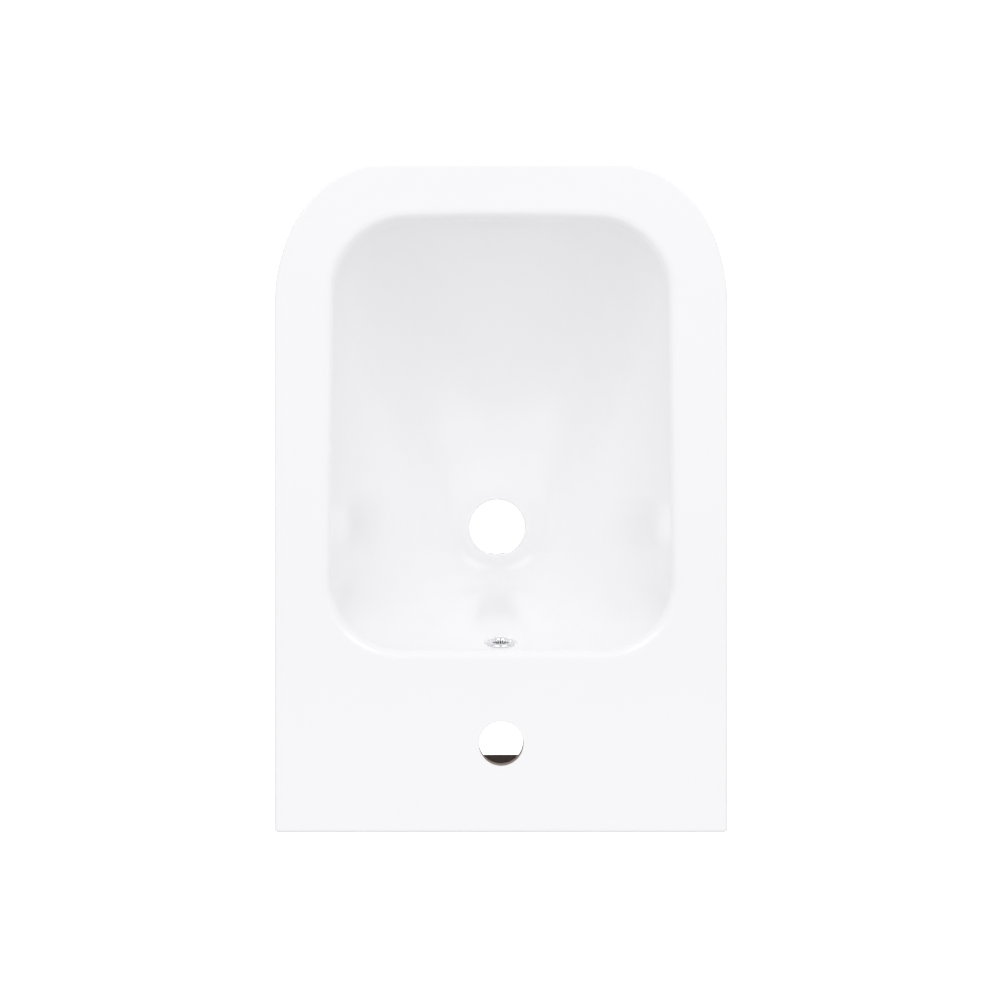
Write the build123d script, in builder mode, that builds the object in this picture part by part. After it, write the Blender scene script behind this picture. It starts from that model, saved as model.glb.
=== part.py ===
from build123d import *
import os
from math import atan2, cos, degrees, radians, sin, tan

# Millimetres. X runs across the bidet, +Y into the wall and +Z up. The origin lies on the wall,
# midway between the two fixing studs, so the bowl reaches out along -Y and the rim is above.

# Overall size of the ceramic
body_depth = 530
body_width = 360
body_height = 320
rim_above_studs = 85

# Outer skirt: a soft square front that sweeps back to a smaller foot
front_corner_across = 83
front_corner_along = 111
foot_depth = 345
foot_width = 284
sweep_power = 2.2
sweep_levels = 7
skirt_wall = 9.5
rear_wall = 10
wall_corner_radius = 3.5
rim_edge_radius = 3
foot_edge_radius = 3

# Bowl opening in the rim
opening_front = 490.5
opening_rear = 143.5
opening_front_width = 267
opening_rear_width = 275
opening_front_corner = 59
opening_rear_corner = 57
opening_crown = 3.5
lip_radius = 8

# Bowl below the opening, down to the mouth of the waste hole
bowl_depth = 155
bowl_wall = 10
bowl_levels = 7
bowl_draft = 14
front_power = 1.7
side_power = 2.1
rear_power = 3.0
mouth_radius = 28
roundest_corner = 0.97

# Waste hole and the boss below it
waste_from_wall = 237
waste_hole_diameter = 48
waste_edge_radius = 1.8
waste_boss_wall = 10
waste_boss_length = 34

# Tap hole in the rear deck
tap_from_wall = 71
tap_hole_diameter = 35
tap_pad_diameter = 62
tap_pad_thickness = 14
tap_edge_radius = 0.8

# Overflow: a hole high in the bowl's rear wall and a duct down to the waste boss
overflow_below_rim = 22
overflow_hole_diameter = 18
overflow_seat_diameter = 26
overflow_seat_depth = 0.8
duct_width = 28
duct_gap = 13
duct_wall = 8
duct_cover = 13
slot_width = 16
slot_height = 13
slot_above_boss_foot = 9

# Fixing rail: a second wall ahead of the rear wall, joined to it by a pillar round each stud
stud_spacing = 180
stud_hole_diameter = 22
pillar_diameter = 52
rail_depth = 35
rail_wall = 9
rail_foot_below_studs = 96
rail_edge_radius = 3

# Arch in the rear wall, under the rail, for the waste pipe and the hoses
arch_width = 196
arch_corner_radius = 24
arch_edge_radius = 3

# Fixings on each stud, which has a thread at each end and a thinner shank between them
stud_diameter = 12
stud_behind_wall = 20
stud_length = 90
stud_chamfer = 1.2
stud_shank_diameter = 10.8
stud_shank_before_wall = 0.5
front_thread_length = 38
running_clearance = 0.05
sleeve_clearance = 0.4
sleeve_bore_clearance = 0.25
sleeve_flange_diameter = 34
sleeve_flange_thickness = 3
sleeve_short_of_wall = 1.5
washer_diameter = 30
washer_thickness = 2.5
washer_bore_clearance = 0.5
nut_across_flats = 18
nut_height = 10
nut_chamfer_angle = 30

# Overflow ring with its grille, and the clip that holds it
ring_diameter = 22.5
ring_crown_diameter = 17.4
ring_height = 2.6
ring_edge_height = 0.7
ring_bore = 12
ring_collar_diameter = 14.6
ring_collar_length = 6
grille_bars = 6
grille_pitch = 1.8
grille_bar_width = 0.9
grille_bar_depth = 1.4
grille_below_crown = 2.2
grille_root = 0.4
clip_clearance = 0.2
clip_fit = 0.05
clip_behind_bowl = 0.5
clip_barb_height = 0.8
clip_barb_length = 3
clip_lead_in = 0.5
clip_slots = 4
clip_slot_width = 2.4
clip_slot_length = 8.5

os.makedirs("parts", exist_ok=True)


def level(depth):
    """Height of a plane that lies a given depth below the rim."""
    return rim_above_studs - depth


def sweep_back(depth):
    """Share of the skirt's taper that is reached at a depth below the rim."""
    return (depth / body_height) ** sweep_power


def skirt_section(depth, inset=0):
    """One level of the skirt: straight sides, elliptical front corners and a straight front."""
    half = (body_width - (body_width - foot_width) * sweep_back(depth)) / 2 - inset
    front = body_depth - (body_depth - foot_depth) * sweep_back(depth) - inset
    across = front_corner_across - inset
    along = front_corner_along - inset
    behind = rear_wall
    with BuildSketch(Plane.XY.offset(level(depth))) as section:
        with BuildLine():
            Line((-half, behind), (-half, along - front))
            EllipticalCenterArc((across - half, along - front), across, along, start_angle=180, arc_size=90)
            Line((across - half, -front), (half - across, -front))
            EllipticalCenterArc((half - across, along - front), across, along, start_angle=270, arc_size=90)
            Line((half, along - front), (half, behind))
            Line((half, behind), (-half, behind))
        make_face()
    return section.sketch


def wall_run(share, reach, power):
    """How far a bowl wall has moved inwards at a share of the bowl's depth: a draft, then a round."""
    drafted = bowl_depth * tan(radians(bowl_draft))
    rounding = 1 - (1 - share**power) ** (1 / power)
    return drafted * share + (reach - drafted) * rounding


def bowl_rear(share):
    """Distance of the bowl's rear wall from the building wall at a share of the bowl's depth."""
    return opening_rear + wall_run(share, waste_from_wall - mouth_radius - opening_rear, rear_power)


def bowl_section(share, outset=0):
    """One level of the bowl: a soft trapezoid that closes in to a round mouth."""
    front_reach = opening_front - waste_from_wall - mouth_radius
    front = opening_front - wall_run(share, front_reach, front_power) + outset
    rear = bowl_rear(share) - outset
    front_reach_across = opening_front_width / 2 - mouth_radius
    rear_reach_across = opening_rear_width / 2 - mouth_radius
    half_front = opening_front_width / 2 - wall_run(share, front_reach_across, side_power) + outset
    half_rear = opening_rear_width / 2 - wall_run(share, rear_reach_across, side_power) + outset
    crown = opening_crown * (1 - share)
    front_corner = min(opening_front_corner + outset, roundest_corner * half_front)
    rear_corner = min(opening_rear_corner + outset, roundest_corner * half_rear)
    with BuildSketch(Plane.XY.offset(level(bowl_depth * share + outset * share))) as section:
        with BuildLine():
            Line((-half_rear, -rear), (-half_front, -front))
            if crown > 0:
                ThreePointArc((-half_front, -front), (0, -front - crown), (half_front, -front))
            else:
                Line((-half_front, -front), (half_front, -front))
            Line((half_front, -front), (half_rear, -rear))
            Line((half_rear, -rear), (-half_rear, -rear))
        make_face()
        fillet(section.vertices().group_by(Axis.Y)[0], front_corner)
        fillet(section.vertices().group_by(Axis.Y)[-1], rear_corner)
    return section.sketch


skirt_depths = [body_height * step / (sweep_levels - 1) for step in range(sweep_levels)]
bowl_shares = [sin(radians(90 * step / (bowl_levels - 1))) for step in range(bowl_levels)]

# The overflow hole leans with the bowl's rear wall, and its seat faces up into the bowl
overflow_share = overflow_below_rim / bowl_depth
wall_step = 0.02
overflow_lean = degrees(
    atan2(
        bowl_rear(overflow_share + wall_step) - bowl_rear(overflow_share - wall_step),
        2 * wall_step * bowl_depth,
    )
)
overflow_seat = Plane(
    origin=(0, -bowl_rear(overflow_share), level(overflow_below_rim)),
    x_dir=(1, 0, 0),
    z_dir=(0, -cos(radians(overflow_lean)), sin(radians(overflow_lean))),
)

mouth_level = level(bowl_depth)
boss_foot = mouth_level - waste_boss_length
boss_radius = waste_hole_diameter / 2 + waste_boss_wall
slot_foot = boss_foot + slot_above_boss_foot
rail_foot = -rail_foot_below_studs
duct_shares = [0.35, 0.62, 0.84, 0.97]


def duct_profile(behind, top, foot):
    """Side view of the overflow duct, from inside the bowl out to a distance behind its rear wall."""
    back = [
        (behind - bowl_rear(share), level((bowl_depth + bowl_wall) * share)) for share in duct_shares
    ]
    with BuildSketch(Plane.YZ) as profile:
        with BuildLine():
            rear = Spline([(behind - bowl_rear(0), top)] + back + [(boss_radius - waste_from_wall, foot)])
            Polyline(
                rear @ 1,
                (-waste_from_wall, foot),
                (-waste_from_wall, mouth_level),
                (-opening_rear - bowl_wall, top),
                rear @ 0,
            )
        make_face()
    return profile.sketch


# The hollow between the skirt and the bowl, open underneath, less the front wall of the rail
with BuildPart() as cavity:
    loft([skirt_section(depth, skirt_wall) for depth in skirt_depths])
    split(bisect_by=Plane.XZ.offset(rear_wall), keep=Keep.TOP)
    split(bisect_by=Plane.XY.offset(level(skirt_wall)), keep=Keep.BOTTOM)
    with BuildSketch(Plane.XZ.offset(rail_depth)):
        with Locations((0, rail_foot)):
            Rectangle(body_width, body_height, align=(Align.CENTER, Align.MIN))
    extrude(amount=-rail_wall, mode=Mode.SUBTRACT)

# What fills the bowl: its inner surface
with BuildPart() as bowl_core:
    loft([bowl_section(share) for share in bowl_shares])

# One casting in vitreous china: skirt, rim, bowl, rear wall, bosses and overflow duct
with BuildPart() as body:
    # Skirt, rounded at the wall, the rim and the foot, then hollowed from below
    loft([skirt_section(depth) for depth in skirt_depths])
    split(bisect_by=Plane.XZ, keep=Keep.TOP)
    rear_outline = body.faces().sort_by(Axis.Y)[-1].edges().sort_by(Axis.X)
    fillet([rear_outline[0], rear_outline[-1]], wall_corner_radius)
    fillet(body.faces().sort_by(Axis.Z)[-1].edges(), rim_edge_radius)
    fillet(body.faces().sort_by(Axis.Z)[0].edges(), foot_edge_radius)
    add(cavity.part, mode=Mode.SUBTRACT)
    rail_edges = body.edges(Select.LAST).filter_by(Axis.X)
    fillet(rail_edges.filter_by_position(Axis.Z, rail_foot - 1, rail_foot + 1), rail_edge_radius)

    # Thickening under the tap hole, and the pillars of the rail
    with BuildSketch(Plane.XY.offset(level(tap_pad_thickness))):
        with Locations((0, -tap_from_wall)):
            Circle(tap_pad_diameter / 2)
    extrude(amount=tap_pad_thickness - skirt_wall / 2)
    with BuildSketch(Plane.XZ.offset(rear_wall / 2)):
        with GridLocations(stud_spacing, 0, 2, 1):
            Circle(pillar_diameter / 2)
    extrude(amount=rail_depth - (rear_wall + rail_wall) / 2)

    # Overflow duct, then the waste boss and the bowl's shell, which close its front
    extrude(
        duct_profile(bowl_wall + duct_gap + duct_wall, level(skirt_wall / 2), boss_foot),
        amount=duct_width / 2 + duct_wall,
        both=True,
    )
    extrude(
        duct_profile(bowl_wall + duct_gap, level(duct_cover), slot_foot),
        amount=duct_width / 2,
        both=True,
        mode=Mode.SUBTRACT,
    )
    with BuildSketch(Plane.XY.offset(boss_foot)):
        with Locations((0, -waste_from_wall)):
            Circle(boss_radius)
    extrude(amount=waste_boss_length)
    loft([bowl_section(share, bowl_wall) for share in bowl_shares])
    add(bowl_core.part, mode=Mode.SUBTRACT)

    # Overflow: out through a seated hole, and from the duct into the waste hole
    with Locations(overflow_seat):
        CounterBoreHole(
            overflow_hole_diameter / 2,
            overflow_seat_diameter / 2,
            overflow_seat_depth,
            depth=bowl_wall + duct_gap / 2,
        )
    with BuildSketch(Plane.XY.offset(slot_foot)):
        with Locations((0, boss_radius / 2 - waste_from_wall)):
            Rectangle(slot_width, boss_radius)
    extrude(amount=slot_height, mode=Mode.SUBTRACT)

    # Arch in the rear wall
    arch_drop = rail_foot - level(body_height)
    with BuildSketch(Plane.XZ):
        with Locations((0, level(body_height))):
            RectangleRounded(arch_width, 2 * arch_drop, arch_corner_radius)
    extrude(amount=rear_wall, mode=Mode.SUBTRACT)
    arch_edges = body.edges(Select.LAST).filter_by(Axis.Y, reverse=True)
    arch_edges = arch_edges.filter_by_position(Axis.X, -arch_width / 2, arch_width / 2)
    arch_edges = arch_edges.filter_by_position(Axis.Z, level(body_height) + foot_edge_radius, 0)
    fillet(arch_edges, arch_edge_radius)

    # Lip of the bowl, and the tap, waste and stud holes
    rim = body.faces().sort_by(Axis.Z)[-1]
    fillet(rim.inner_wires()[0].edges(), lip_radius)
    with Locations((0, -tap_from_wall, level(0))):
        Hole(tap_hole_diameter / 2, depth=2 * tap_pad_thickness)
    rim = body.faces().sort_by(Axis.Z)[-1]
    fillet(rim.inner_wires().sort_by(Axis.Y)[-1].edges(), tap_edge_radius)
    with Locations((0, -waste_from_wall, mouth_level)):
        Hole(waste_hole_diameter / 2, depth=2 * waste_boss_length)
    waste_edges = body.edges(Select.LAST).filter_by(GeomType.CIRCLE)
    fillet(waste_edges.sort_by(Axis.Z)[-1], waste_edge_radius)
    with BuildSketch(Plane.XZ):
        with GridLocations(stud_spacing, 0, 2, 1):
            Circle(stud_hole_diameter / 2)
    extrude(amount=rail_depth, mode=Mode.SUBTRACT)
    body.part.label = "ceramic_body"

export_step(body.part, "parts/ceramic_body.step")


def across_axis(plane):
    """Side view of a turned piece: its axis is the plane's normal, and radii run along X."""
    return Plane(plane.origin, x_dir=plane.x_dir, z_dir=-plane.y_dir)


ring_seat = overflow_seat.offset(-overflow_seat_depth)
ring_axis = Axis(ring_seat.origin, ring_seat.z_dir)

# Overflow ring: a turned bead with a collar, and a grille of upright bars across its bore
with BuildPart() as ring:
    with BuildSketch(across_axis(ring_seat)):
        with BuildLine():
            crown = ring_crown_diameter / 2
            bead = EllipticalCenterArc(
                (crown, ring_edge_height),
                ring_diameter / 2 - crown,
                ring_height - ring_edge_height,
                start_angle=0,
                arc_size=90,
            )
            throat_radius = crown - ring_bore / 2
            throat = CenterArc((crown, ring_height - throat_radius), throat_radius, 90, 90)
            Polyline(
                throat @ 1,
                (ring_bore / 2, -ring_collar_length),
                (ring_collar_diameter / 2, -ring_collar_length),
                (ring_collar_diameter / 2, 0),
                (ring_diameter / 2, 0),
                bead @ 0,
            )
        make_face()
    revolve(axis=ring_axis)
    with BuildSketch(ring_seat.offset(ring_height - grille_below_crown - grille_bar_depth)):
        with GridLocations(grille_pitch, 0, grille_bars, 1):
            Rectangle(grille_bar_width, ring_diameter)
        Circle(ring_bore / 2 + grille_root, mode=Mode.INTERSECT)
    extrude(amount=grille_bar_depth)
    ring.part.label = "overflow_ring"

export_step(ring.part, "parts/overflow_ring.step")

# Overflow clip: a slotted sleeve pushed through the hole, with a barb behind the bowl
with BuildPart() as clip:
    clip_radius = overflow_hole_diameter / 2 - clip_clearance
    clip_bore_radius = ring_collar_diameter / 2 + clip_fit
    barb_start = overflow_seat_depth - bowl_wall - clip_behind_bowl
    clip_end = barb_start - clip_barb_length
    with BuildSketch(across_axis(ring_seat)):
        with BuildLine():
            Polyline(
                (clip_bore_radius, 0),
                (clip_radius, 0),
                (clip_radius, barb_start),
                (clip_radius + clip_barb_height, barb_start),
                (clip_radius - clip_lead_in, clip_end),
                (clip_bore_radius, clip_end),
                close=True,
            )
        make_face()
    revolve(axis=ring_axis)
    with BuildSketch(ring_seat.offset(clip_end)):
        with PolarLocations(0, clip_slots // 2, angular_range=180):
            Rectangle(3 * clip_radius, clip_slot_width)
    extrude(amount=clip_slot_length, mode=Mode.SUBTRACT)
    clip.part.label = "overflow_clip"

export_step(clip.part, "parts/overflow_clip.step")

# What holds the bidet on each stud, from the wall inwards
flange_face = -rail_depth
washer_face = flange_face - sleeve_flange_thickness
nut_face = washer_face - washer_thickness
stud_radius = stud_diameter / 2

for side, across in (("left", -stud_spacing / 2), ("right", stud_spacing / 2)):
    stud_axis = Axis((across, 0, 0), (0, 1, 0))
    stud_side = Plane(origin=(across, 0, 0), x_dir=(1, 0, 0), z_dir=(0, 0, 1))

    # Steel stud out of the wall
    with BuildPart() as stud:
        front_end = stud_behind_wall - stud_length
        shank_start = front_end + front_thread_length
        thread_relief = stud_radius - stud_shank_diameter / 2
        with BuildSketch(stud_side):
            with BuildLine():
                Polyline(
                    (0, stud_behind_wall),
                    (stud_radius - stud_chamfer, stud_behind_wall),
                    (stud_radius, stud_behind_wall - stud_chamfer),
                    (stud_radius, -stud_shank_before_wall),
                    (stud_radius - thread_relief, -stud_shank_before_wall - thread_relief),
                    (stud_radius - thread_relief, shank_start + thread_relief),
                    (stud_radius, shank_start),
                    (stud_radius, front_end + stud_chamfer),
                    (stud_radius - stud_chamfer, front_end),
                    (0, front_end),
                    close=True,
                )
            make_face()
        revolve(axis=stud_axis)
        stud.part.label = f"stud_{side}"
    export_step(stud.part, f"parts/stud_{side}.step")

    # Plastic sleeve with a flange, between stud and ceramic
    with BuildPart() as sleeve:
        sleeve_bore_radius = stud_radius + sleeve_bore_clearance
        sleeve_radius = stud_hole_diameter / 2 - sleeve_clearance
        with BuildSketch(stud_side):
            with BuildLine():
                Polyline(
                    (sleeve_bore_radius, -sleeve_short_of_wall),
                    (sleeve_radius, -sleeve_short_of_wall),
                    (sleeve_radius, flange_face),
                    (sleeve_flange_diameter / 2, flange_face),
                    (sleeve_flange_diameter / 2, washer_face),
                    (sleeve_bore_radius, washer_face),
                    close=True,
                )
            make_face()
        revolve(axis=stud_axis)
        sleeve.part.label = f"sleeve_{side}"
    export_step(sleeve.part, f"parts/sleeve_{side}.step")

    # Flat steel washer on the flange
    with BuildPart() as washer:
        with BuildSketch(Plane.XZ.offset(-washer_face)):
            with Locations((across, 0)):
                Circle(washer_diameter / 2)
                Circle(stud_radius + washer_bore_clearance, mode=Mode.SUBTRACT)
        extrude(amount=washer_thickness)
        washer.part.label = f"washer_{side}"
    export_step(washer.part, f"parts/washer_{side}.step")

    # Hexagon nut, its corners turned down at both ends
    with BuildPart() as nut:
        with BuildSketch(Plane.XZ.offset(-nut_face)):
            with Locations((across, 0)):
                RegularPolygon(nut_across_flats / 2, 6, major_radius=False)
                Circle(stud_radius + running_clearance, mode=Mode.SUBTRACT)
        extrude(amount=nut_height)
        flat = nut_across_flats / 2
        corner = flat / cos(radians(30))
        turned_down = (corner - flat) * tan(radians(nut_chamfer_angle))
        with BuildSketch(stud_side):
            with BuildLine():
                Polyline(
                    (0, nut_face),
                    (flat, nut_face),
                    (corner, nut_face - turned_down),
                    (corner, nut_face - nut_height + turned_down),
                    (flat, nut_face - nut_height),
                    (0, nut_face - nut_height),
                    close=True,
                )
            make_face()
        revolve(axis=stud_axis, mode=Mode.INTERSECT)
        nut.part.label = f"nut_{side}"
    export_step(nut.part, f"parts/nut_{side}.step")
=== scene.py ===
from math import cos, pi, radians, sin, tan

import bpy
import numpy as np
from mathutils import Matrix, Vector


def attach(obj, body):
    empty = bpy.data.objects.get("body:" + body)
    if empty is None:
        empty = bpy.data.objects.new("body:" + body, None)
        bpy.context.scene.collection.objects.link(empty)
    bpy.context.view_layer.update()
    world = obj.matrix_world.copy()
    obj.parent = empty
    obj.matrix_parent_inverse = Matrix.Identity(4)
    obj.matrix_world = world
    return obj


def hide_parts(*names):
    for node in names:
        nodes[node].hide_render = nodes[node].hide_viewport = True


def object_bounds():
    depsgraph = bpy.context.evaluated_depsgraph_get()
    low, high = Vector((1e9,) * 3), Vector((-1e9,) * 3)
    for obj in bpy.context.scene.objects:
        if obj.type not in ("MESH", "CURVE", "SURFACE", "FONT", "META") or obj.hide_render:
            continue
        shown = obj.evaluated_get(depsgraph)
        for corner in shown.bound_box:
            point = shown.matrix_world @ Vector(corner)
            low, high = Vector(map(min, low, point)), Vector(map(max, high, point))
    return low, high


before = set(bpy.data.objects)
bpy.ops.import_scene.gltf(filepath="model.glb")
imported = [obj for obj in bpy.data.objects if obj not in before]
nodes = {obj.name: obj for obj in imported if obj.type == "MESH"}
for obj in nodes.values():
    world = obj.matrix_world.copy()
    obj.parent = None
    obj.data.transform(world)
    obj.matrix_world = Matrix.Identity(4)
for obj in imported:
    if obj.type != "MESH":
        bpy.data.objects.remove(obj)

CAD_LOW, CAD_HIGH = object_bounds()
scene = bpy.context.scene

# Camera
# The photograph looks straight down on the rim, with the front of the bidet at the top of the picture.
# The camera hangs over the bowl and its frame is shifted a little towards the tap deck.
RIM_LEVEL = CAD_HIGH[2]
camera_data = bpy.data.cameras.new("photo_camera")
camera_data.sensor_width = 36
camera_data.lens = 68.2
camera_data.shift_x = 0.04
camera_data.shift_y = -0.036
camera_data.clip_end = 200
camera = bpy.data.objects.new("photo_camera", camera_data)
scene.collection.objects.link(camera)
camera.location = (0.0326, -0.2925, RIM_LEVEL + 1.5)
camera.rotation_euler = (0, 0, pi)
scene.camera = camera

# Floor, world and lights
# A bidet hangs with its rim 400 mm above the floor. The floor is a plain white sheet and the world a pale
# studio, brighter above than below. Two tall softboxes stand ahead of the bowl, two weak ones beside it, and
# one hangs behind the deck.
RIM_ABOVE_FLOOR = 0.4
FLOOR_HALF = 80.0
floor_level = RIM_LEVEL - RIM_ABOVE_FLOOR
floor_mesh = bpy.data.meshes.new("floor")
floor_mesh.from_pydata(
    [(sx * FLOOR_HALF, sy * FLOOR_HALF, floor_level) for sx, sy in ((-1, -1), (1, -1), (1, 1), (-1, 1))],
    [],
    [(0, 1, 2, 3)],
)
floor = bpy.data.objects.new("floor", floor_mesh)
scene.collection.objects.link(floor)
floor_material = bpy.data.materials.new("floor_paper")
floor_material.use_nodes = True
floor_nodes = floor_material.node_tree.nodes
floor_shader = floor_nodes["Principled BSDF"]
floor_shader.inputs["Base Color"].default_value = (0.93, 0.93, 0.93, 1)
floor_shader.inputs["Roughness"].default_value = 0.9
floor_shader.inputs["Specular IOR Level"].default_value = 0.0
floor_shader.inputs["Emission Color"].default_value = (1, 1, 1, 1)
floor_shader.inputs["Emission Strength"].default_value = 1.5
floor_mesh.materials.append(floor_material)
floor.visible_diffuse = False

world = bpy.data.worlds.new("studio")
world.use_nodes = True
scene.world = world
world_nodes = world.node_tree.nodes
world_links = world.node_tree.links
background = world_nodes["Background"]
direction = world_nodes.new("ShaderNodeTexCoord")
split = world_nodes.new("ShaderNodeSeparateXYZ")
height = world_nodes.new("ShaderNodeMapRange")
height.inputs["From Min"].default_value = -0.25
height.inputs["From Max"].default_value = 0.15
height.inputs["To Min"].default_value = 0.3
height.inputs["To Max"].default_value = 0.678
world_links.new(direction.outputs["Generated"], split.inputs["Vector"])
world_links.new(split.outputs["Z"], height.inputs["Value"])
world_links.new(height.outputs["Result"], background.inputs["Strength"])
background.inputs["Color"].default_value = (0.99, 0.985, 1.0, 1)


def softbox(name, place, aim, width, depth, power):
    """A rectangular area light at a place, facing a point."""
    data = bpy.data.lights.new(name, "AREA")
    data.shape = "RECTANGLE"
    data.size = width
    data.size_y = depth
    data.energy = power
    light = bpy.data.objects.new(name, data)
    scene.collection.objects.link(light)
    light.location = place
    light.rotation_euler = (Vector(aim) - Vector(place)).to_track_quat("-Z", "Y").to_euler()
    return light


BOWL_MIDDLE = (0, -0.28, 0)
for side in (-1, 1):
    softbox("softbox_front", (side * 1.26, -2.3, 2.14), BOWL_MIDDLE, 1.4, 2.1, 17)
    softbox("softbox_side", (side * 2.6, -0.5, 1.8), BOWL_MIDDLE, 1.4, 1.2, 3)
softbox("softbox_deck", (0, 0.7, 1.9), (0, -0.1, 0.08), 2.4, 1.2, 4.7)
scene.view_settings.view_transform = "Standard"
scene.view_settings.look = "None"
scene.view_settings.exposure = 0

# Ceramic body
# One slip-cast body of vitreous china: skirt, rim, bowl, waste boss, overflow duct and the double fixing
# rail come out of one mould. The outside and the bowl carry a thick white gloss glaze. The hollow underneath
# is unglazed china, its tone painted a darker brown as painted shade, and the wall face and foot are wiped bare.
MM = 0.001
BODY_DEPTH = 530
BODY_WIDTH = 360
BODY_HEIGHT = 320
RIM_ABOVE_STUDS = 85
FRONT_CORNER_ACROSS = 83
FRONT_CORNER_ALONG = 111
FOOT_DEPTH = 345
FOOT_WIDTH = 284
SWEEP_POWER = 2.2
SKIRT_WALL = 9.5
REAR_WALL = 10
WALL_CORNER_RADIUS = 3.5
EDGE_RADIUS = 3
OPENING_FRONT = 484.5
OPENING_REAR = 143.5
OPENING_FRONT_WIDTH = 267
OPENING_REAR_WIDTH = 275
OPENING_FRONT_CORNER = 57
OPENING_REAR_CORNER = 56
OPENING_CROWN = 4.5
LIP_RADIUS = 8
BOWL_DEPTH = 155
BOWL_WALL = 10
BOWL_DRAFT = radians(14)
FRONT_POWER = 1.7
SIDE_POWER = 2.1
REAR_POWER = 3.0
MOUTH_RADIUS = 28
ROUNDEST_CORNER = 0.97
WASTE_FROM_WALL = 237
WASTE_HOLE_RADIUS = 24
WASTE_EDGE_RADIUS = 1.8
WASTE_BOSS_WALL = 10
WASTE_BOSS_LENGTH = 34
TAP_FROM_WALL = 71
TAP_HOLE_RADIUS = 17.5
TAP_PAD_RADIUS = 31
TAP_PAD_THICKNESS = 14
TAP_EDGE_RADIUS = 0.8
OVERFLOW_BELOW_RIM = 22
OVERFLOW_HOLE_RADIUS = 9
OVERFLOW_SEAT_RADIUS = 13
OVERFLOW_SEAT_DEPTH = 0.8
DUCT_WIDTH = 28
DUCT_GAP = 13
DUCT_WALL = 8
DUCT_COVER = 13
SLOT_WIDTH = 16
SLOT_HEIGHT = 13
SLOT_ABOVE_BOSS_FOOT = 9
STUD_SPACING = 180
STUD_HOLE_RADIUS = 11
PILLAR_RADIUS = 26
RAIL_DEPTH = 35
RAIL_WALL = 9
RAIL_FOOT_BELOW_STUDS = 96
ARCH_WIDTH = 196
ARCH_CORNER_RADIUS = 24
CASTING_RADIUS = 5
GLAZE_WHITE = (0.958, 0.956, 0.961, 1)
GLAZE_SHADE = (0.946, 0.944, 0.950, 1)
# The unglazed tones are darker and browner than bare china: partly the china's own tone, partly painted shade for the
# hollow and the tap hole's bore.
BISCUIT_AND_SHADE_LIGHT = (0.56, 0.48, 0.44, 1)
BISCUIT_AND_SHADE_DARK = (0.44, 0.37, 0.34, 1)
GROUND_LIGHT = (0.78, 0.75, 0.71, 1)
GROUND_DARK = (0.70, 0.67, 0.63, 1)


def level(depth):
    """Height of a plane that lies a given depth below the rim."""
    return RIM_ABOVE_STUDS - depth


def line(start, end, steps):
    """Points along a straight run, without its end."""
    share = np.linspace(0, 1, steps, endpoint=False)[:, None]
    return np.array(start) + share * (np.array(end) - np.array(start))


def arc(centre, across, along, start, end, steps):
    """Points along an arc of an ellipse between two angles in degrees, without its end."""
    turn = np.radians(np.linspace(start, end, steps, endpoint=False))
    return np.stack([centre[0] + across * np.cos(turn), centre[1] + along * np.sin(turn)], axis=-1)


def at_height(path, height):
    """A flat path of points, laid at a height."""
    return np.column_stack([path, np.full(len(path), float(height))])


def skirt_loop(depth, inset, behind, corner):
    """One level of the skirt: straight sides, elliptical front corners, a straight front and a straight back.

    Width and reach shrink towards the foot with a power of the depth.
    """
    swept = (depth / BODY_HEIGHT) ** SWEEP_POWER
    half = (BODY_WIDTH - (BODY_WIDTH - FOOT_WIDTH) * swept) / 2 - inset
    front = BODY_DEPTH - (BODY_DEPTH - FOOT_DEPTH) * swept - inset
    across = FRONT_CORNER_ACROSS - inset
    along = FRONT_CORNER_ALONG - inset
    path = [
        line((-half, -behind - corner), (-half, along - front), 40),
        arc((across - half, along - front), across, along, 180, 270, 44),
        line((across - half, -front), (half - across, -front), 24),
        arc((half - across, along - front), across, along, 270, 360, 44),
        line((half, along - front), (half, -behind - corner), 40),
        arc((half - corner, -behind - corner), corner, corner, 0, 90, 8),
        line((half - corner, -behind), (corner - half, -behind), 24),
        arc((corner - half, -behind - corner), corner, corner, 90, 180, 8),
    ]
    return at_height(np.concatenate(path), level(depth))


def quarter(radius, steps, last=90.0):
    """(out, down) along a quarter round: out falls from the radius to 0 as down grows from 0 to it."""
    turn = np.radians(np.linspace(0, last, steps))
    return np.stack([radius - radius * np.sin(turn), radius - radius * np.cos(turn)], axis=-1)


def wall_run(share, reach, power):
    """How far a bowl wall has moved inwards at a share of the bowl's depth: a draft, then a round."""
    drafted = BOWL_DEPTH * tan(BOWL_DRAFT)
    return drafted * share + (reach - drafted) * (1 - (1 - share**power) ** (1 / power))


def bowl_rear(share):
    """Distance of the bowl's rear wall from the building wall at a share of the bowl's depth."""
    return OPENING_REAR + wall_run(share, WASTE_FROM_WALL - MOUTH_RADIUS - OPENING_REAR, REAR_POWER)


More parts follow.
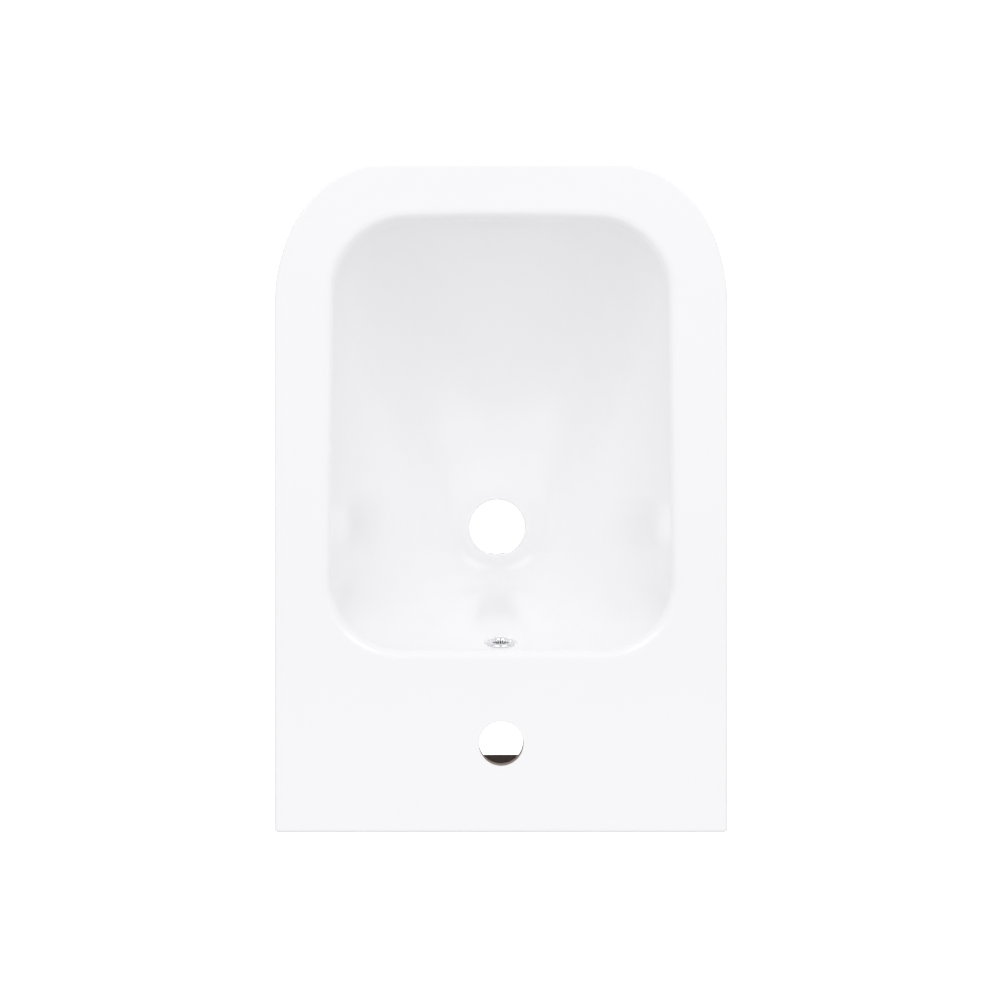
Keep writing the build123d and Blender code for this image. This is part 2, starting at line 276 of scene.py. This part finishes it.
def rounded(corners, radii, arc_steps, line_steps):
    """A closed path round four corners, each rounded by a tangent arc."""
    corners = np.array(corners, float)
    before = np.roll(corners, 1, axis=0) - corners
    after = np.roll(corners, -1, axis=0) - corners
    before /= np.linalg.norm(before, axis=1, keepdims=True)
    after /= np.linalg.norm(after, axis=1, keepdims=True)
    inner = np.arccos(np.sum(before * after, axis=1))
    reach = np.array(radii) / np.tan(inner / 2)
    middle = before + after
    middle /= np.linalg.norm(middle, axis=1, keepdims=True)
    centres = corners + middle * (np.array(radii) / np.sin(inner / 2))[:, None]
    starts = corners + before * reach[:, None]
    ends = corners + after * reach[:, None]
    first = np.arctan2(*(starts - centres).T[::-1])
    sweep = np.arctan2(*(ends - centres).T[::-1]) - first
    sweep = (sweep + np.pi) % (2 * np.pi) - np.pi
    share = np.linspace(0, 1, arc_steps, endpoint=False)
    turns = first[:, None] + sweep[:, None] * share
    bends = centres[:, None] + np.array(radii)[:, None, None] * np.stack([np.cos(turns), np.sin(turns)], axis=-1)
    path = []
    for bend, start, end, steps in zip(bends, ends, np.roll(starts, -1, axis=0), line_steps):
        path += [bend, line(start, end, steps)]
    return np.concatenate(path)


def bowl_loop(share, outset, depth):
    """One level of the bowl: a soft trapezoid with a slightly bowed front that closes in to a round mouth."""
    front_reach = OPENING_FRONT - WASTE_FROM_WALL - MOUTH_RADIUS
    front = OPENING_FRONT - wall_run(share, front_reach, FRONT_POWER) + outset
    rear = bowl_rear(share) - outset
    half_front = OPENING_FRONT_WIDTH / 2 + outset
    half_front -= wall_run(share, OPENING_FRONT_WIDTH / 2 - MOUTH_RADIUS, SIDE_POWER)
    half_rear = OPENING_REAR_WIDTH / 2 + outset
    half_rear -= wall_run(share, OPENING_REAR_WIDTH / 2 - MOUTH_RADIUS, SIDE_POWER)
    front_corner = min(OPENING_FRONT_CORNER + max(outset, 0), ROUNDEST_CORNER * half_front)
    rear_corner = min(OPENING_REAR_CORNER + max(outset, 0), ROUNDEST_CORNER * half_rear)
    corners = [(-half_rear, -rear), (-half_front, -front), (half_front, -front), (half_rear, -rear)]
    radii = [rear_corner, front_corner, front_corner, rear_corner]
    path = rounded(corners, radii, 30, [36, 26, 36, 26])
    near_front = np.clip((front_corner - front - path[:, 1]) / front_corner, 0, 1) ** 2
    bow = 1 - np.clip(np.abs(path[:, 0]) / half_front, 0, 1) ** 2
    path[:, 1] -= OPENING_CROWN * (1 - share) * near_front * bow
    return at_height(path, level(depth))


def solid_from_loops(name, loops, material):
    """A closed mesh through closed loops of points in millimetres, with a flat cap at each end."""
    loops = np.array(loops) * MM
    count, around = loops.shape[:2]
    step = np.arange(around)
    rows = np.arange(count - 1)[:, None] * around
    after = (step + 1) % around
    quads = np.stack([rows + step, rows + after, rows + around + after, rows + around + step], axis=-1)
    quads = quads.reshape(-1, 4)
    points = loops.reshape(-1, 3)
    a, b, c, d = (points[quads[:, k]] for k in range(4))
    volume = np.sum(a * np.cross(b, c)) + np.sum(a * np.cross(c, d))
    for loop, sign in ((loops[0], -1), (loops[-1], 1)):
        volume += sign * np.sum(loop.mean(0) * np.cross(loop, np.roll(loop, -1, axis=0)))
    faces = quads.tolist() + [step[::-1].tolist(), (step + (count - 1) * around).tolist()]
    mesh = bpy.data.meshes.new(name)
    mesh.from_pydata(points.tolist(), [], faces)
    if volume < 0:
        mesh.flip_normals()
    mesh.materials.append(material)
    piece = bpy.data.objects.new(name, mesh)
    scene.collection.objects.link(piece)
    return piece


def turned(name, profile, centre, axis, material, steps=144):
    """A closed turned solid: profile holds (radius, distance along the axis) in millimetres."""
    along = Vector(axis).normalized()
    across = along.orthogonal().normalized()
    third = along.cross(across)
    turn = np.linspace(0, 2 * np.pi, steps, endpoint=False)
    ring = np.cos(turn)[:, None] * np.array(across) + np.sin(turn)[:, None] * np.array(third)
    profile = np.array(profile, float)
    loops = np.array(centre) + profile[:, 0, None, None] * ring + profile[:, 1, None, None] * np.array(along)
    return solid_from_loops(name, loops, material)


def combine(target, operation, *tools):
    """The target joined with, or cut by, each tool in turn. The tools are used up."""
    for tool in tools:
        step = target.modifiers.new("step", "BOOLEAN")
        step.solver = "MANIFOLD"
        step.material_mode = "TRANSFER"
        step.operation = operation
        step.object = tool
    graph = bpy.context.evaluated_depsgraph_get()
    mesh = bpy.data.meshes.new_from_object(target.evaluated_get(graph))
    target.modifiers.clear()
    target.data = mesh
    for tool in tools:
        bpy.data.objects.remove(tool)


def add_node(tree, kind, **inputs):
    """A new node with some of its inputs set; an underscore in a name stands for a space."""
    node = tree.nodes.new(kind)
    for name, value in inputs.items():
        node.inputs[name.replace("_", " ")].default_value = value
    return node


def noise(tree, place, scale, detail=2.0):
    """Noise in object coordinates, at so many cells to the metre."""
    node = add_node(tree, "ShaderNodeTexNoise", Scale=scale, Detail=detail)
    tree.links.new(place, node.inputs["Vector"])
    return node.outputs["Fac"]


def bump(tree, height_socket, distance, below=None):
    """A bump of a given height in metres, on top of another."""
    node = add_node(tree, "ShaderNodeBump", Distance=distance, Strength=1.0)
    tree.links.new(height_socket, node.inputs["Height"])
    if below is not None:
        tree.links.new(below, node.inputs["Normal"])
    return node.outputs["Normal"]


def mix(tree, factor, first, second):
    """One colour blended into another by a socket; each may be a colour or a socket."""
    node = tree.nodes.new("ShaderNodeMix")
    node.data_type = "RGBA"
    tree.links.new(factor, node.inputs["Factor"])
    for name, value in (("A", first), ("B", second)):
        socket = next(s for s in node.inputs if s.name == name and s.type == "RGBA")
        if isinstance(value, bpy.types.NodeSocket):
            tree.links.new(value, socket)
        else:
            socket.default_value = value
    return next(s for s in node.outputs if s.type == "RGBA")


def ramp(tree, value, low_in, high_in, low_out=0.0, high_out=1.0):
    """A value carried from one range to another and held at its ends."""
    node = tree.nodes.new("ShaderNodeMapRange")
    for name, number in zip(("From Min", "From Max", "To Min", "To Max"), (low_in, high_in, low_out, high_out)):
        node.inputs[name].default_value = number
    tree.links.new(value, node.inputs["Value"])
    return node.outputs["Result"]


def china_material(name, glazed):
    """Vitreous china. Glazed, it has a gloss coat with slow waves and a fine orange peel, wiped off the wall face
    and the foot. Unglazed, it is matt and slightly rough, with faint marks of the mould, in a brown tone darkened as
    painted shade."""
    material = bpy.data.materials.new(name)
    material.use_nodes = True
    tree = material.node_tree
    shader = tree.nodes["Principled BSDF"]
    place = tree.nodes.new("ShaderNodeTexCoord").outputs["Object"]
    biscuit_and_shade = mix(tree, noise(tree, place, 30, 5), BISCUIT_AND_SHADE_LIGHT, BISCUIT_AND_SHADE_DARK)
    grain = bump(tree, noise(tree, place, 900, 3), 0.00006)
    if not glazed:
        tree.links.new(biscuit_and_shade, shader.inputs["Base Color"])
        tree.links.new(grain, shader.inputs["Normal"])
        shader.inputs["Roughness"].default_value = 0.7
        shader.inputs["Specular IOR Level"].default_value = 0.0
        return material
    apart = tree.nodes.new("ShaderNodeSeparateXYZ")
    tree.links.new(place, apart.inputs["Vector"])
    at_wall = ramp(tree, apart.outputs["Y"], -0.00025, -0.00005)
    at_foot = ramp(tree, apart.outputs["Z"], level(BODY_HEIGHT) * MM + 0.0009, level(BODY_HEIGHT) * MM + 0.0002)
    bare = tree.nodes.new("ShaderNodeMath")
    bare.operation = "MAXIMUM"
    tree.links.new(at_wall, bare.inputs[0])
    tree.links.new(at_foot, bare.inputs[1])
    white = mix(tree, noise(tree, place, 9, 3), GLAZE_WHITE, GLAZE_SHADE)
    ground = mix(tree, noise(tree, place, 30, 5), GROUND_LIGHT, GROUND_DARK)
    tree.links.new(mix(tree, bare.outputs[0], white, ground), shader.inputs["Base Color"])
    tree.links.new(ramp(tree, bare.outputs[0], 0, 1, 0.18, 0.7), shader.inputs["Roughness"])
    waves = bump(tree, noise(tree, place, 20, 1), 0.0003)
    tree.links.new(bump(tree, noise(tree, place, 420, 1), 0.000005, waves), shader.inputs["Normal"])
    shader.inputs["IOR"].default_value = 1.52
    return material


glaze = china_material("glazed_china", True)
# Unglazed china, darkened as painted shade, for the hollow, the inner faces and the tap hole's bore.
biscuit_and_shade = china_material("bare_china_and_painted_shade", False)
mouth_level = level(BOWL_DEPTH)
boss_foot = mouth_level - WASTE_BOSS_LENGTH
boss_radius = WASTE_HOLE_RADIUS + WASTE_BOSS_WALL
rail_foot = -RAIL_FOOT_BELOW_STUDS

# The skirt's outside, rounded at the rim and the foot
loops = [skirt_loop(down, out, out, max(WALL_CORNER_RADIUS - out, 0.5)) for out, down in quarter(EDGE_RADIUS, 8)]
for depth in np.linspace(EDGE_RADIUS, BODY_HEIGHT - EDGE_RADIUS, 64)[1:]:
    loops.append(skirt_loop(depth, 0, 0, WALL_CORNER_RADIUS))
for out, down in quarter(EDGE_RADIUS, 8)[::-1][1:]:
    loops.append(skirt_loop(BODY_HEIGHT - down, out, out, max(WALL_CORNER_RADIUS - out, 0.5)))
casting = solid_from_loops("ceramic_casting", loops, glaze)

# The hollow inside it, open underneath, less the front wall of the rail
loops = [
    skirt_loop(SKIRT_WALL + down, SKIRT_WALL + out, REAR_WALL + out, CASTING_RADIUS)
    for out, down in quarter(CASTING_RADIUS, 8)
]
for depth in np.linspace(SKIRT_WALL + CASTING_RADIUS, BODY_HEIGHT - EDGE_RADIUS, 60)[1:]:
    loops.append(skirt_loop(depth, SKIRT_WALL, REAR_WALL, CASTING_RADIUS))
for out, down in quarter(EDGE_RADIUS, 8)[::-1][1:-1]:
    loops.append(skirt_loop(BODY_HEIGHT - down, SKIRT_WALL - out, REAR_WALL - out, CASTING_RADIUS))
loops.append(skirt_loop(BODY_HEIGHT + 4, SKIRT_WALL - EDGE_RADIUS, REAR_WALL - EDGE_RADIUS, CASTING_RADIUS))
hollow = solid_from_loops("hollow", loops, biscuit_and_shade)
rail_front, rail_back = -RAIL_DEPTH, RAIL_WALL - RAIL_DEPTH
profile = rounded(
    [(rail_front, 120), (rail_front, rail_foot), (rail_back, rail_foot), (rail_back, 120)],
    [0.5, EDGE_RADIUS, EDGE_RADIUS, 0.5],
    8,
    [40, 2, 40, 2],
)
rail = solid_from_loops("rail", [np.column_stack([np.full(len(profile), x), profile]) for x in (-200.0, 200.0)], biscuit_and_shade)
combine(hollow, "DIFFERENCE", rail)
combine(casting, "DIFFERENCE", hollow)

# Thickening under the tap hole, pillars, overflow duct, waste boss and the bowl's shell
pad_foot = level(TAP_PAD_THICKNESS)
pad_round = quarter(2.5, 6)
pad = [(TAP_PAD_RADIUS - out, pad_foot + down) for out, down in pad_round]
pad.append((TAP_PAD_RADIUS, level(SKIRT_WALL / 2)))
pad = turned("pad", pad, (0, -TAP_FROM_WALL, 0), (0, 0, 1), biscuit_and_shade)
pillars = [
    turned("pillar", [(PILLAR_RADIUS, 0), (PILLAR_RADIUS, 25.5)], (across, -REAR_WALL / 2, 0), (0, -1, 0), biscuit_and_shade)
    for across in (-STUD_SPACING / 2, STUD_SPACING / 2)
]


def duct_solid(name, behind, top, foot, half_width, round_off):
    """The overflow duct's side view, from inside the bowl to a distance behind its rear wall, made as wide as asked."""
    share = np.linspace(0.12, 0.97, 40)
    back = np.column_stack([behind - bowl_rear(share), level((BOWL_DEPTH + BOWL_WALL) * share)])
    ends = np.array([
        (boss_radius - WASTE_FROM_WALL, foot),
        (-WASTE_FROM_WALL, foot),
        (-WASTE_FROM_WALL, mouth_level),
        (-OPENING_REAR - BOWL_WALL, top),
        (behind - bowl_rear(0), top),
    ])
    profile = np.concatenate([back, ends])
    turn = quarter(round_off, 6)
    loops = []
    for out, down in np.concatenate([turn, np.array([[0, 2 * half_width - down] for out, down in turn[::-1]])]):
        loops.append(np.column_stack([np.full(len(profile), down - half_width), profile]))
    for loop, (out, down) in zip(loops, np.concatenate([turn, turn[::-1]])):
        loop[:40, 1] -= out
    return solid_from_loops(name, loops, biscuit_and_shade)


duct = duct_solid("duct", BOWL_WALL + DUCT_GAP + DUCT_WALL, level(SKIRT_WALL / 2), boss_foot, DUCT_WIDTH / 2 + DUCT_WALL, 5)
slot_foot = boss_foot + SLOT_ABOVE_BOSS_FOOT
duct_inside = duct_solid("duct_inside", BOWL_WALL + DUCT_GAP, level(DUCT_COVER), slot_foot, DUCT_WIDTH / 2, 2)
boss = [(boss_radius - out, boss_foot + down) for out, down in quarter(1.5, 5)] + [(boss_radius, mouth_level)]
boss = turned("boss", boss, (0, -WASTE_FROM_WALL, 0), (0, 0, 1), biscuit_and_shade)
turns = np.radians(np.linspace(1.5, 90, 60))
shell = [bowl_loop(share, BOWL_WALL, (BOWL_DEPTH + BOWL_WALL) * share) for share in np.sin(turns)]
shell = solid_from_loops("shell", shell, biscuit_and_shade)
combine(casting, "UNION", pad, *pillars, duct)
combine(casting, "DIFFERENCE", duct_inside)
combine(casting, "UNION", boss, shell)

# The bowl's inside, with the lip rolled over tangent to the rim
lip_centre = LIP_RADIUS * (tan(BOWL_DRAFT) - 1 / cos(BOWL_DRAFT))
lip_turns = np.radians(np.linspace(4, 90 - np.degrees(BOWL_DRAFT), 16))
bowl = [bowl_loop(0, -lip_centre - LIP_RADIUS * sin(lip_turns[0]), -12)]
for turn in lip_turns:
    bowl.append(bowl_loop(0, -lip_centre - LIP_RADIUS * sin(turn), LIP_RADIUS - LIP_RADIUS * cos(turn)))
lip_share = (LIP_RADIUS - LIP_RADIUS * sin(BOWL_DRAFT)) / BOWL_DEPTH
for share in np.sin(np.linspace(np.arcsin(lip_share), pi / 2, 90)[1:]):
    bowl.append(bowl_loop(share, 0, BOWL_DEPTH * share))
combine(casting, "DIFFERENCE", solid_from_loops("bowl", bowl, glaze))

# Holes: tap, waste, overflow with its seat, the slot from the duct, the studs and the arch for the pipes


def through(radius, ends, rounds):
    """Profile of a hole through a wall between two places on its axis, with a rounded edge at each."""
    (low_end, high_end), (low_round, high_round) = ends, rounds
    profile = [(radius + low_round, low_end - 6)]
    profile += [(radius + out, low_end + down) for out, down in quarter(low_round, 6)[1:]]
    profile += [(radius + out, high_end - down) for out, down in quarter(high_round, 6)[:0:-1]]
    return profile + [(radius + high_round, high_end + 6)]


tap_place = (0, -TAP_FROM_WALL, 0)
tap_bore = through(TAP_HOLE_RADIUS, (pad_foot, level(0)), (1, 0.01))[:7] + [(TAP_HOLE_RADIUS, level(0) + 6)]
# The tap hole's bore takes the darkened unglazed tone: painted shade inside the hole.
tap = turned("tap", tap_bore, tap_place, (0, 0, 1), biscuit_and_shade)
tap_edge = [(TAP_HOLE_RADIUS - 1, level(TAP_EDGE_RADIUS)), (TAP_HOLE_RADIUS - 0.02, level(TAP_EDGE_RADIUS))]
tap_edge += [(TAP_HOLE_RADIUS + out, level(down)) for out, down in quarter(TAP_EDGE_RADIUS, 6)[-2::-1]]
tap_edge.append((TAP_HOLE_RADIUS + TAP_EDGE_RADIUS, level(-6)))
tap_edge = turned("tap_edge", tap_edge, tap_place, (0, 0, 1), glaze)
waste = turned(
    "waste",
    through(WASTE_HOLE_RADIUS, (boss_foot, mouth_level), (1, WASTE_EDGE_RADIUS)),
    (0, -WASTE_FROM_WALL, 0),
    (0, 0, 1),
    glaze,
)
stud_holes = [
    turned("stud_hole", through(STUD_HOLE_RADIUS, (0, RAIL_DEPTH), (0.8, 0.8)), (across, 0, 0), (0, -1, 0), biscuit_and_shade)
    for across in (-STUD_SPACING / 2, STUD_SPACING / 2)
]
overflow_share = OVERFLOW_BELOW_RIM / BOWL_DEPTH
lean = np.arctan2(bowl_rear(overflow_share + 0.02) - bowl_rear(overflow_share - 0.02), 0.04 * BOWL_DEPTH)
seat_axis = (0, -cos(lean), sin(lean))
seat_place = (0, -bowl_rear(overflow_share), level(OVERFLOW_BELOW_RIM))
overflow = [
    (OVERFLOW_HOLE_RADIUS, -BOWL_WALL - DUCT_GAP / 2),
    (OVERFLOW_HOLE_RADIUS, -OVERFLOW_SEAT_DEPTH - 0.3),
    (OVERFLOW_HOLE_RADIUS + 0.3, -OVERFLOW_SEAT_DEPTH),
    (OVERFLOW_SEAT_RADIUS - 0.4, -OVERFLOW_SEAT_DEPTH),
    (OVERFLOW_SEAT_RADIUS, -OVERFLOW_SEAT_DEPTH + 0.4),
    (OVERFLOW_SEAT_RADIUS + 0.5, 0.3),
    (OVERFLOW_SEAT_RADIUS + 0.5, 8),
]
overflow = turned("overflow", overflow, seat_place, seat_axis, glaze)
slot_path = rounded(
    [
        (-SLOT_WIDTH / 2, slot_foot),
        (SLOT_WIDTH / 2, slot_foot),
        (SLOT_WIDTH / 2, slot_foot + SLOT_HEIGHT),
        (-SLOT_WIDTH / 2, slot_foot + SLOT_HEIGHT),
    ],
    [2, 2, 2, 2],
    6,
    [2, 2, 2, 2],
)
slot = [
    np.column_stack([slot_path[:, 0], np.full(len(slot_path), y), slot_path[:, 1]])
    for y in (-WASTE_FROM_WALL, boss_radius - WASTE_FROM_WALL)
]
slot = solid_from_loops("slot", slot, glaze)


def arch_loop(outset, y):
    """The arch's outline, grown outwards by an amount, at a distance ahead of the wall face."""
    half = ARCH_WIDTH / 2 + outset
    top, foot = rail_foot + outset, level(BODY_HEIGHT) - 30
    corners = [(-half, foot), (half, foot), (half, top), (-half, top)]
    path = rounded(corners, [2, 2, ARCH_CORNER_RADIUS + outset, ARCH_CORNER_RADIUS + outset], 20, [2, 20, 20, 20])
    return np.column_stack([path[:, 0], np.full(len(path), -y), path[:, 1]])


arch = [arch_loop(out, y) for out, y in through(0, (0, REAR_WALL), (EDGE_RADIUS, EDGE_RADIUS))]
arch = solid_from_loops("arch", arch, biscuit_and_shade)
combine(casting, "DIFFERENCE", tap, tap_edge, waste, *stud_holes, overflow, slot, arch)


def finish_mesh(piece, node, sharp_degrees=35):
    piece.data.polygons.foreach_set("use_smooth", np.ones(len(piece.data.polygons), bool))
    piece.data.set_sharp_from_angle(angle=radians(sharp_degrees))
    weighted = piece.modifiers.new("weighted", "WEIGHTED_NORMAL")
    weighted.keep_sharp = True
    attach(piece, "root")
    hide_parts(node)


finish_mesh(casting, "ceramic_body")

# Overflow ring
# A brass ring, turned and chromed, pressed into the seat high in the bowl's rear wall. Its bead stands just
# proud of the glaze, and upright bars across its bore keep cloths out of the duct.
RING_RADIUS = 11.25
RING_CROWN_RADIUS = 8.7
RING_HEIGHT = 2.6
RING_EDGE_HEIGHT = 0.7
RING_BORE_RADIUS = 6
COLLAR_RADIUS = 7.3
COLLAR_LENGTH = 6
BAR_COUNT = 6
BAR_PITCH = 1.8
BAR_WIDTH = 0.9
BAR_DEPTH = 1.4
BAR_EDGE_RADIUS = 0.25
BARS_BELOW_CROWN = 2.2
BAR_ROOT = 0.4
CHROME = (0.90, 0.905, 0.915, 1)
CHROME_SHADE = (0.84, 0.85, 0.865, 1)


def metal_material(name, light, dark, rough, patch_scale, grain_scale, grain_height):
    """Bare or plated metal: two near tones in soft patches, a roughness that wanders with them, and a fine grain."""
    material = bpy.data.materials.new(name)
    material.use_nodes = True
    tree = material.node_tree
    shader = tree.nodes["Principled BSDF"]
    place = tree.nodes.new("ShaderNodeTexCoord").outputs["Object"]
    patches = noise(tree, place, patch_scale, 3)
    tree.links.new(mix(tree, patches, light, dark), shader.inputs["Base Color"])
    tree.links.new(ramp(tree, patches, 0.3, 0.7, rough[0], rough[1]), shader.inputs["Roughness"])
    tree.links.new(bump(tree, noise(tree, place, grain_scale, 2), grain_height), shader.inputs["Normal"])
    shader.inputs["Metallic"].default_value = 1.0
    return material


chrome = metal_material("chromed_brass", CHROME, CHROME_SHADE, (0.05, 0.13), 160, 1400, 0.000002)
ring_floor = Vector(seat_place) - OVERFLOW_SEAT_DEPTH * Vector(seat_axis)
bead_turns = np.radians(np.linspace(0, 90, 24))
bead = np.stack(
    [
        RING_CROWN_RADIUS + (RING_RADIUS - RING_CROWN_RADIUS) * np.cos(bead_turns),
        RING_EDGE_HEIGHT + (RING_HEIGHT - RING_EDGE_HEIGHT) * np.sin(bead_turns),
    ],
    axis=-1,
)
ring_side = [(COLLAR_RADIUS - 0.3, -COLLAR_LENGTH), (COLLAR_RADIUS, 0.3 - COLLAR_LENGTH), (COLLAR_RADIUS, 0)]
ring_side += [(RING_RADIUS - 0.15, 0), (RING_RADIUS, 0.15), *bead.tolist(), (RING_BORE_RADIUS - 1, RING_HEIGHT)]
ring = turned("overflow_ring_fine", ring_side, ring_floor, seat_axis, chrome)
throat_radius = RING_CROWN_RADIUS - RING_BORE_RADIUS
throat = [
    (RING_CROWN_RADIUS - throat_radius * cos(turn), RING_HEIGHT - throat_radius + throat_radius * sin(turn))
    for turn in np.radians(np.linspace(0, 84, 20))
]
throat = [(RING_BORE_RADIUS, -COLLAR_LENGTH - 1), *throat, (RING_CROWN_RADIUS, RING_HEIGHT + 1)]
combine(ring, "DIFFERENCE", turned("throat", throat, ring_floor, seat_axis, chrome))


def grille_bar(across):
    """One bar of the grille: an upright prism with rounded edges, cut off inside the ring's wall."""
    half = BAR_WIDTH / 2
    back = RING_HEIGHT - BARS_BELOW_CROWN - BAR_DEPTH
    corners = [(-half, back), (half, back), (half, back + BAR_DEPTH), (-half, back + BAR_DEPTH)]
    section = rounded(corners, [BAR_EDGE_RADIUS] * 4, 5, [2, 3, 2, 3])
    reach = np.sqrt((RING_BORE_RADIUS + BAR_ROOT) ** 2 - across**2)
    upright = np.array(Vector(seat_axis).cross(Vector((1, 0, 0))))
    loops = [
        np.array(ring_floor)
        + (across + section[:, :1]) * np.array((1, 0, 0))
        + section[:, 1:] * np.array(seat_axis)
        + end * upright
        for end in np.linspace(-reach, reach, 12)
    ]
    return solid_from_loops("bar", loops, chrome)


bars = [grille_bar((k - (BAR_COUNT - 1) / 2) * BAR_PITCH) for k in range(BAR_COUNT)]
combine(ring, "UNION", *bars)
finish_mesh(ring, "overflow_ring")

# Overflow clip
# A slotted sleeve of white polypropylene, pushed through the hole from the bowl. Its barb springs out behind
# the wall and grips the ring's collar. It is moulded with a fine matt texture.
PLASTIC_WHITE = (0.83, 0.83, 0.80, 1)
PLASTIC_WHITE_SHADE = (0.78, 0.78, 0.75, 1)


def plastic_material(name, light, dark, rough, grain_scale):
    """Moulded plastic: a nearly even tone with faint flow marks, and the fine spark texture of the mould."""
    material = bpy.data.materials.new(name)
    material.use_nodes = True
    tree = material.node_tree
    shader = tree.nodes["Principled BSDF"]
    place = tree.nodes.new("ShaderNodeTexCoord").outputs["Object"]
    flow = noise(tree, place, 60, 4)
    tree.links.new(mix(tree, flow, light, dark), shader.inputs["Base Color"])
    tree.links.new(ramp(tree, flow, 0.3, 0.7, rough - 0.06, rough + 0.06), shader.inputs["Roughness"])
    tree.links.new(bump(tree, noise(tree, place, grain_scale, 2), 0.00002), shader.inputs["Normal"])
    shader.inputs["IOR"].default_value = 1.49
    return material


def give(node, material):
    """Put a material in every slot of a CAD node."""
    for slot in nodes[node].material_slots:
        slot.material = material


give("overflow_clip", plastic_material("white_polypropylene", PLASTIC_WHITE, PLASTIC_WHITE_SHADE, 0.42, 2600))

# Fixing studs
# Two M12 studs of zinc-plated steel stand out of the wall sockets. Rolling the thread at each end leaves the
# shank between them at the pitch diameter. The crests are flat, the roots slightly rounder, the tips chamfered.
STUD_RADIUS = 6
STUD_BEHIND_WALL = 15
STUD_LENGTH = 85
STUD_CHAMFER = 1.2
SHANK_RADIUS = 5.4
SHANK_BEFORE_WALL = 0.5
FRONT_THREAD_LENGTH = 38
THREAD_PITCH = 1.75
THREAD_SHARP_HEIGHT = 0.866 * THREAD_PITCH
THREAD_DEPTH = 0.6134 * THREAD_PITCH
ROWS_PER_PITCH = 12
THREAD_AROUND = 48
ZINC = (0.74, 0.745, 0.75, 1)
ZINC_SHADE = (0.60, 0.61, 0.63, 1)
zinc = metal_material("bright_zinc_plate", ZINC, ZINC_SHADE, (0.24, 0.42), 220, 1800, 0.000008)


def thread_radius(along, turn):
    """Radius of a right-hand thread: a 60 degree saw that climbs one pitch a turn, cut flat at crest and root."""
    phase = (along / THREAD_PITCH - turn / (2 * np.pi)) % 1
    to_crest = 1 - np.abs(2 * phase - 1)
    sharp = STUD_RADIUS + THREAD_SHARP_HEIGHT / 8 - THREAD_SHARP_HEIGHT * to_crest
    return np.clip(sharp, STUD_RADIUS - THREAD_DEPTH, STUD_RADIUS)


def threaded_stud(name, across):
    """A stud along Y: thread, shank and thread, each blended into the next, with both tips chamfered."""
    front_end = STUD_BEHIND_WALL - STUD_LENGTH
    shank_start = front_end + FRONT_THREAD_LENGTH
    rows = int(STUD_LENGTH / THREAD_PITCH * ROWS_PER_PITCH)
    along = np.linspace(0, STUD_LENGTH, rows)[:, None]
    turn = np.linspace(0, 2 * np.pi, THREAD_AROUND, endpoint=False)[None, :]
    place = STUD_BEHIND_WALL - along
    into_shank = np.minimum(place - shank_start, -SHANK_BEFORE_WALL - place) / (THREAD_PITCH / 2)
    shank_share = np.clip(into_shank, 0, 1)
    radius = thread_radius(along, turn) * (1 - shank_share) + SHANK_RADIUS * shank_share
    tip = STUD_RADIUS - STUD_CHAMFER + np.minimum(along, STUD_LENGTH - along)
    radius = np.minimum(radius, tip)
    points = np.stack([across + radius * np.cos(turn), place + 0 * turn, radius * np.sin(turn)], axis=-1)
    return solid_from_loops(name, points, zinc)


for side, across in (("left", -STUD_SPACING / 2), ("right", STUD_SPACING / 2)):
    finish_mesh(threaded_stud(f"threaded_stud_{side}", across), f"stud_{side}", 50)

# Nuts and washers
# Zinc-plated hexagon nuts, 18 mm across their flats, pull the bidet to the wall through flat pressed washers.
for part in ("nut_left", "nut_right", "washer_left", "washer_right"):
    give(part, zinc)

# Sleeves
# Flanged sleeves of grey polyamide line the stud holes, so that neither steel nor thread touches the china.
PLASTIC_GREY = (0.33, 0.34, 0.35, 1)
PLASTIC_GREY_SHADE = (0.28, 0.29, 0.30, 1)
polyamide = plastic_material("grey_polyamide", PLASTIC_GREY, PLASTIC_GREY_SHADE, 0.5, 2200)
for part in ("sleeve_left", "sleeve_right"):
    give(part, polyamide)
